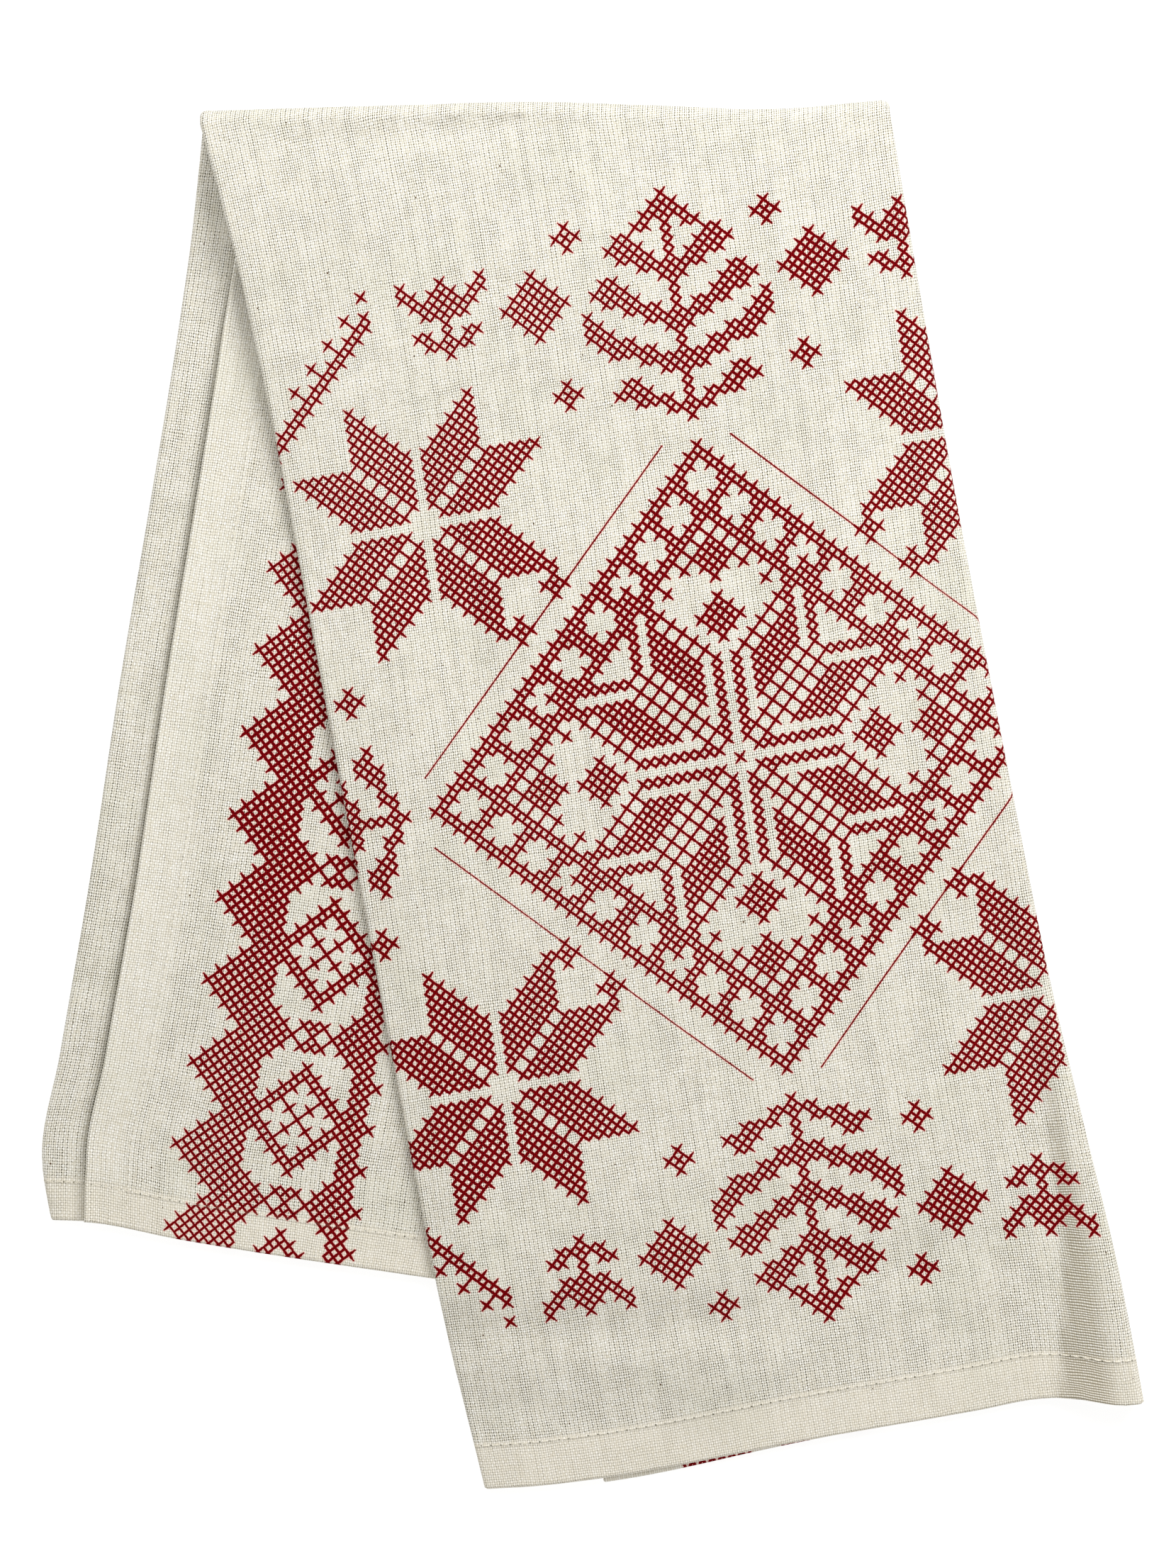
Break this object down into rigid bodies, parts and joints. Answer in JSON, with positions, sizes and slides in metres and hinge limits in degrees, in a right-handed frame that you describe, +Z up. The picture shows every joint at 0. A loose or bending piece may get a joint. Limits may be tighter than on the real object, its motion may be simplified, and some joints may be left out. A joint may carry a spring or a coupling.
{
  "type": "folded flour sack towel",
  "caption": "Hemmed cotton kitchen towel, folded lengthwise into a narrow strip and then over once across, lying flat with its two ends fanned apart.",
  "frame": {"origin": "under the middle of the folded towel's outline, on the surface it lies on", "axes": "+Y from the hems towards the cross fold, +X to the right as seen from above with the fold at the top, +Z up"},
  "size_m": [0.3006, 0.3782, 0.0088],
  "materials": {
    "natural_cotton": "plain-woven natural cotton with small seed flecks, matte"
  },
  "bodies": {
    "root": {"towel": "natural_cotton"}
  },
  "joints": []
}
